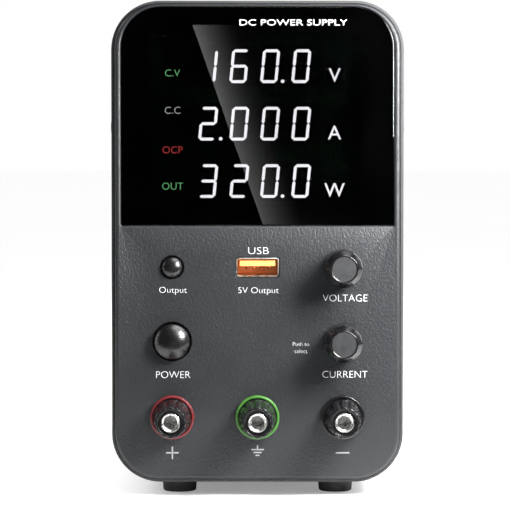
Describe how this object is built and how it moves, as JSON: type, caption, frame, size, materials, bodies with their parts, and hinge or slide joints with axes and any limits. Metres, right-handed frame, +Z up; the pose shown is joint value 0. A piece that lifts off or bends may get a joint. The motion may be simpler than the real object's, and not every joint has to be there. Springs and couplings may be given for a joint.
{
  "type": "bench power supply",
  "caption": "Upright bench power supply with a tinted digital display, two push encoders, two buttons, a USB socket, binding posts, a cooling fan and a mains inlet.",
  "frame": {"origin": "centre of the object's footprint, on the surface that the feet stand on", "axes": "+X to the right seen from the front, +Y to the back, +Z up; the front panel faces -Y"},
  "size_m": [0.0922, 0.2245, 0.153],
  "materials": {
    "case_steel": "fine-textured black powder coat",
    "panel_plastic": "moulded with a fine leather grain",
    "lens": "tinted, polished, with a printed border",
    "rubber": "matt",
    "screw_zinc": "black-plated, satin",
    "screw_plain": "zinc-plated",
    "button_plastic": "polished",
    "switch_plastic": "moulded",
    "knob_plastic": "glossy skirt, spun satin face",
    "nickel": "nickel-plated, polished",
    "steel_plate": "satin",
    "brass": "machined",
    "usb_insulator": "moulded orange",
    "contact_metal": "plated",
    "red_plastic": "moulded",
    "green_plastic": "moulded",
    "black_plastic": "moulded",
    "circuit_board": "solder resist",
    "led_module": "black face with lit segments",
    "ferrite": "ferrite core with a taped winding",
    "capacitor": "sleeved cans",
    "heatsink": "extruded",
    "epoxy": "moulded",
    "winding": "enamelled wire",
    "ribbon": "flat cable",
    "lead_red": "insulated wire",
    "lead_black": "insulated wire",
    "fan_plastic": "moulded",
    "glass_fuse": "ceramic tube with metal ends",
    "selector_red": "moulded"
  },
  "bodies": {
    "root": {"upper_cover": "case_steel", "lower_tray": "case_steel", "front_panel": "panel_plastic", "panel_frame": "panel_plastic", "display_lens": "lens", "rear_panel": "case_steel", "feet": "rubber", "case_screws": "screw_zinc", "output_switch": "switch_plastic", "power_switch": "switch_plastic", "voltage_encoder_body": "steel_plate", "current_encoder_body": "steel_plate", "usb_shell": "steel_plate", "usb_tongue": "usb_insulator", "usb_contacts": "contact_metal", "positive_collar": "red_plastic", "earth_collar": "green_plastic", "negative_collar": "black_plastic", "positive_stud": "nickel", "earth_stud": "nickel", "negative_stud": "nickel", "post_nuts": "brass", "solder_lugs": "nickel", "display_board": "circuit_board", "led_modules": "led_module", "control_board": "circuit_board", "board_screws": "screw_plain", "power_board": "circuit_board", "board_standoffs": "brass", "main_transformer": "ferrite", "capacitors": "capacitor", "heatsinks": "heatsink", "power_transistors": "epoxy", "chokes": "winding", "ribbon_cable": "ribbon", "output_leads": "lead_red", "power_leads": "lead_black", "fan_frame": "fan_plastic", "fan_guard": "steel_plate", "inlet_body": "black_plastic", "inlet_pins": "nickel", "voltage_selector": "black_plastic"},
    "fan_rotor": {"fan_rotor": "fan_plastic"},
    "output_button": {"output_button": "button_plastic"},
    "power_button": {"power_button": "button_plastic"},
    "fuse_drawer": {"fuse_drawer": "black_plastic", "fuse": "glass_fuse"},
    "selector_slider": {"selector_slider": "selector_red"},
    "voltage_rotor": {"voltage_encoder_rotor": "brass"},
    "voltage_knob": {"voltage_knob": "knob_plastic", "voltage_shaft": "nickel"},
    "current_rotor": {"current_encoder_rotor": "brass"},
    "current_knob": {"current_knob": "knob_plastic", "current_shaft": "nickel"},
    "positive_washer": {"positive_washer": "nickel"},
    "positive_cap": {"positive_cap": "black_plastic"},
    "earth_washer": {"earth_washer": "nickel"},
    "earth_cap": {"earth_cap": "black_plastic"},
    "negative_washer": {"negative_washer": "nickel"},
    "negative_cap": {"negative_cap": "black_plastic"}
  },
  "joints": [
    {"name": "fan_spin", "type": "hinge", "parent": "root", "child": "fan_rotor", "pos_m": [0, 0.09675, 0.1085], "axis": [0, 1, 0], "continuous": true},
    {"name": "output_press", "type": "slide", "parent": "root", "child": "output_button", "axis": [0, 1, 0], "range_m": [0, 0.0007], "stiffness_N_per_m": 2500, "springref_m": -0.0006},
    {"name": "power_press", "type": "slide", "parent": "root", "child": "power_button", "axis": [0, 1, 0], "range_m": [0, 0.002], "stiffness_N_per_m": 1200, "springref_m": -0.0015},
    {"name": "voltage_turn", "type": "hinge", "parent": "root", "child": "voltage_rotor", "pos_m": [0.0263, -0.09525, 0.0711], "axis": [0, -1, 0], "continuous": true},
    {"name": "voltage_push", "type": "slide", "parent": "voltage_rotor", "child": "voltage_knob", "axis": [0, 1, 0], "range_m": [0, 0.0005], "stiffness_N_per_m": 4000, "springref_m": -0.0006},
    {"name": "current_turn", "type": "hinge", "parent": "root", "child": "current_rotor", "pos_m": [0.0263, -0.09525, 0.0482], "axis": [0, -1, 0], "continuous": true},
    {"name": "current_push", "type": "slide", "parent": "current_rotor", "child": "current_knob", "axis": [0, 1, 0], "range_m": [0, 0.0005], "stiffness_N_per_m": 4000, "springref_m": -0.0006},
    {"name": "positive_lift", "type": "slide", "parent": "root", "child": "positive_washer", "axis": [0, -1, 0], "range_m": [0, 0.005]},
    {"name": "positive_turn", "type": "hinge", "parent": "positive_washer", "child": "positive_cap", "pos_m": [-0.0263, -0.10325, 0.0248], "axis": [0, -1, 0], "range_deg": [0, 1800]},
    {"name": "earth_lift", "type": "slide", "parent": "root", "child": "earth_washer", "axis": [0, -1, 0], "range_m": [0, 0.005]},
    {"name": "earth_turn", "type": "hinge", "parent": "earth_washer", "child": "earth_cap", "pos_m": [0, -0.10325, 0.0248], "axis": [0, -1, 0], "range_deg": [0, 1800]},
    {"name": "negative_lift", "type": "slide", "parent": "root", "child": "negative_washer", "axis": [0, -1, 0], "range_m": [0, 0.005]},
    {"name": "negative_turn", "type": "hinge", "parent": "negative_washer", "child": "negative_cap", "pos_m": [0.0263, -0.10325, 0.0248], "axis": [0, -1, 0], "range_deg": [0, 1800]},
    {"name": "fuse_drawer_slide", "type": "slide", "parent": "root", "child": "fuse_drawer", "axis": [0, 1, 0], "range_m": [0, 0.016]},
    {"name": "selector_slide", "type": "slide", "parent": "root", "child": "selector_slider", "axis": [1, 0, 0], "range_m": [0, 0.0055]}
  ],
  "couplings": [
    {"joint": "positive_turn", "follows": "positive_lift", "rad_per_m": 6283.2},
    {"joint": "earth_turn", "follows": "earth_lift", "rad_per_m": 6283.2},
    {"joint": "negative_turn", "follows": "negative_lift", "rad_per_m": 6283.2}
  ]
}
